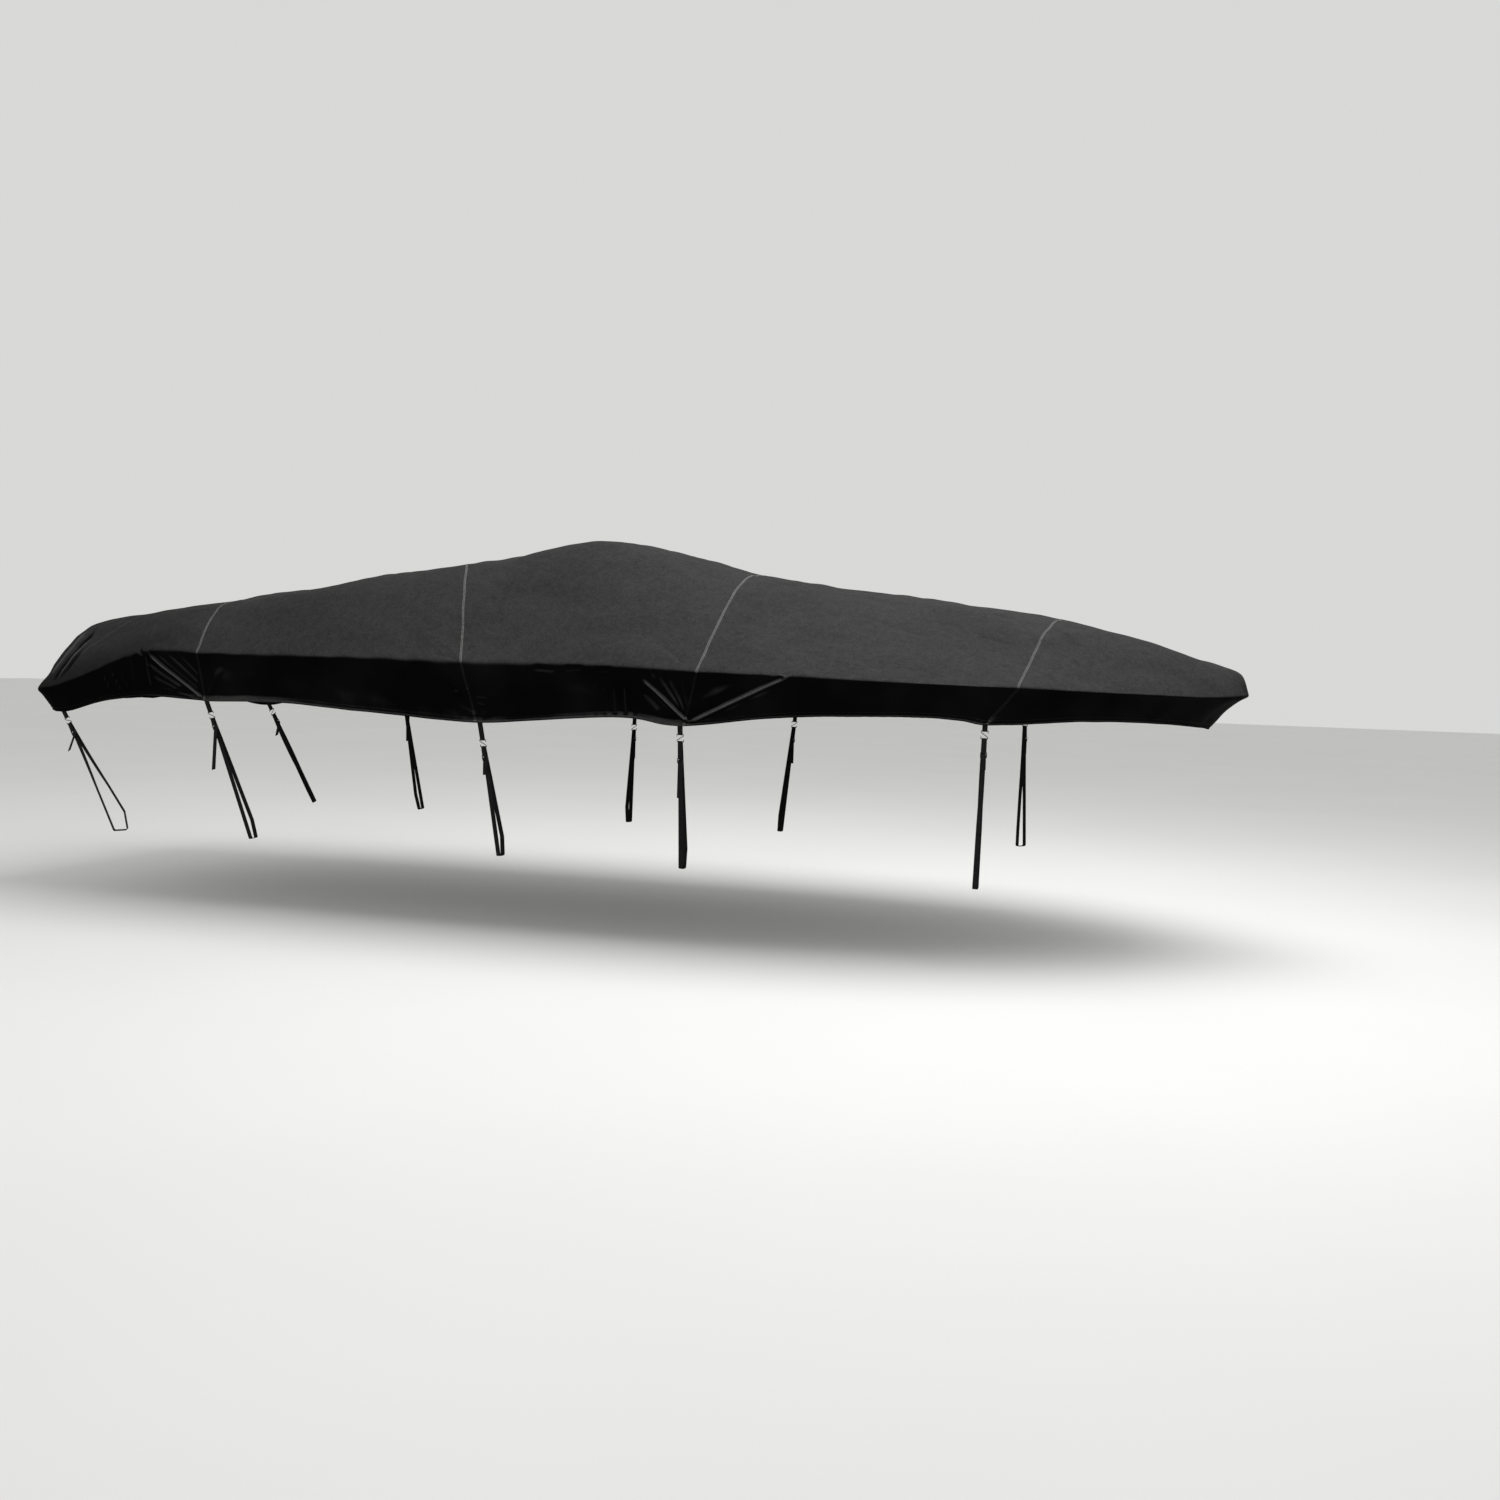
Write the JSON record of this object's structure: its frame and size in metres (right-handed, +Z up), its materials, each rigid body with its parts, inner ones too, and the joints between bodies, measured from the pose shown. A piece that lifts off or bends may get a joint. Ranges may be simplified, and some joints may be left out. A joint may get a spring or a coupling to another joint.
{
  "type": "boat cover",
  "caption": "Fitted cloth cover for a trailered boat: a seamed, peaked top over a short skirt, held down by webbing straps with hooks and buckles.",
  "frame": {"origin": "inner face of the cloth under the highest part of the crown, where the covered boat holds the cover up", "axes": "+X to the bow end, +Y to port, +Z up"},
  "size_m": [6.765, 2.4, 1.7459],
  "materials": {
    "cover_polyester": "coated woven polyester, matt black",
    "strap_webbing": "woven polypropylene webbing, black",
    "hook_steel": "zinc-plated wire",
    "buckle_plastic": "moulded acetal, black"
  },
  "bodies": {
    "root": {"panel_aft": "cover_polyester", "panel_bow": "cover_polyester", "panel_forward": "cover_polyester", "panel_middle": "cover_polyester", "panel_stern": "cover_polyester", "port_aft_band": "strap_webbing", "port_aft_buckle": "buckle_plastic", "port_aft_hook": "hook_steel", "port_aft_tab": "strap_webbing", "port_bow_band": "strap_webbing", "port_bow_buckle": "buckle_plastic", "port_bow_hook": "hook_steel", "port_bow_tab": "strap_webbing", "port_forward_band": "strap_webbing", "port_forward_buckle": "buckle_plastic", "port_forward_hook": "hook_steel", "port_forward_tab": "strap_webbing", "port_middle_band": "strap_webbing", "port_middle_buckle": "buckle_plastic", "port_middle_hook": "hook_steel", "port_middle_tab": "strap_webbing", "port_stern_band": "strap_webbing", "port_stern_buckle": "buckle_plastic", "port_stern_hook": "hook_steel", "port_stern_tab": "strap_webbing", "starboard_aft_band": "strap_webbing", "starboard_aft_buckle": "buckle_plastic", "starboard_aft_hook": "hook_steel", "starboard_aft_tab": "strap_webbing", "starboard_bow_band": "strap_webbing", "starboard_bow_buckle": "buckle_plastic", "starboard_bow_hook": "hook_steel", "starboard_bow_tab": "strap_webbing", "starboard_forward_band": "strap_webbing", "starboard_forward_buckle": "buckle_plastic", "starboard_forward_hook": "hook_steel", "starboard_forward_tab": "strap_webbing", "starboard_middle_band": "strap_webbing", "starboard_middle_buckle": "buckle_plastic", "starboard_middle_hook": "hook_steel", "starboard_middle_tab": "strap_webbing", "starboard_stern_band": "strap_webbing", "starboard_stern_buckle": "buckle_plastic", "starboard_stern_hook": "hook_steel", "starboard_stern_tab": "strap_webbing"}
  },
  "joints": []
}
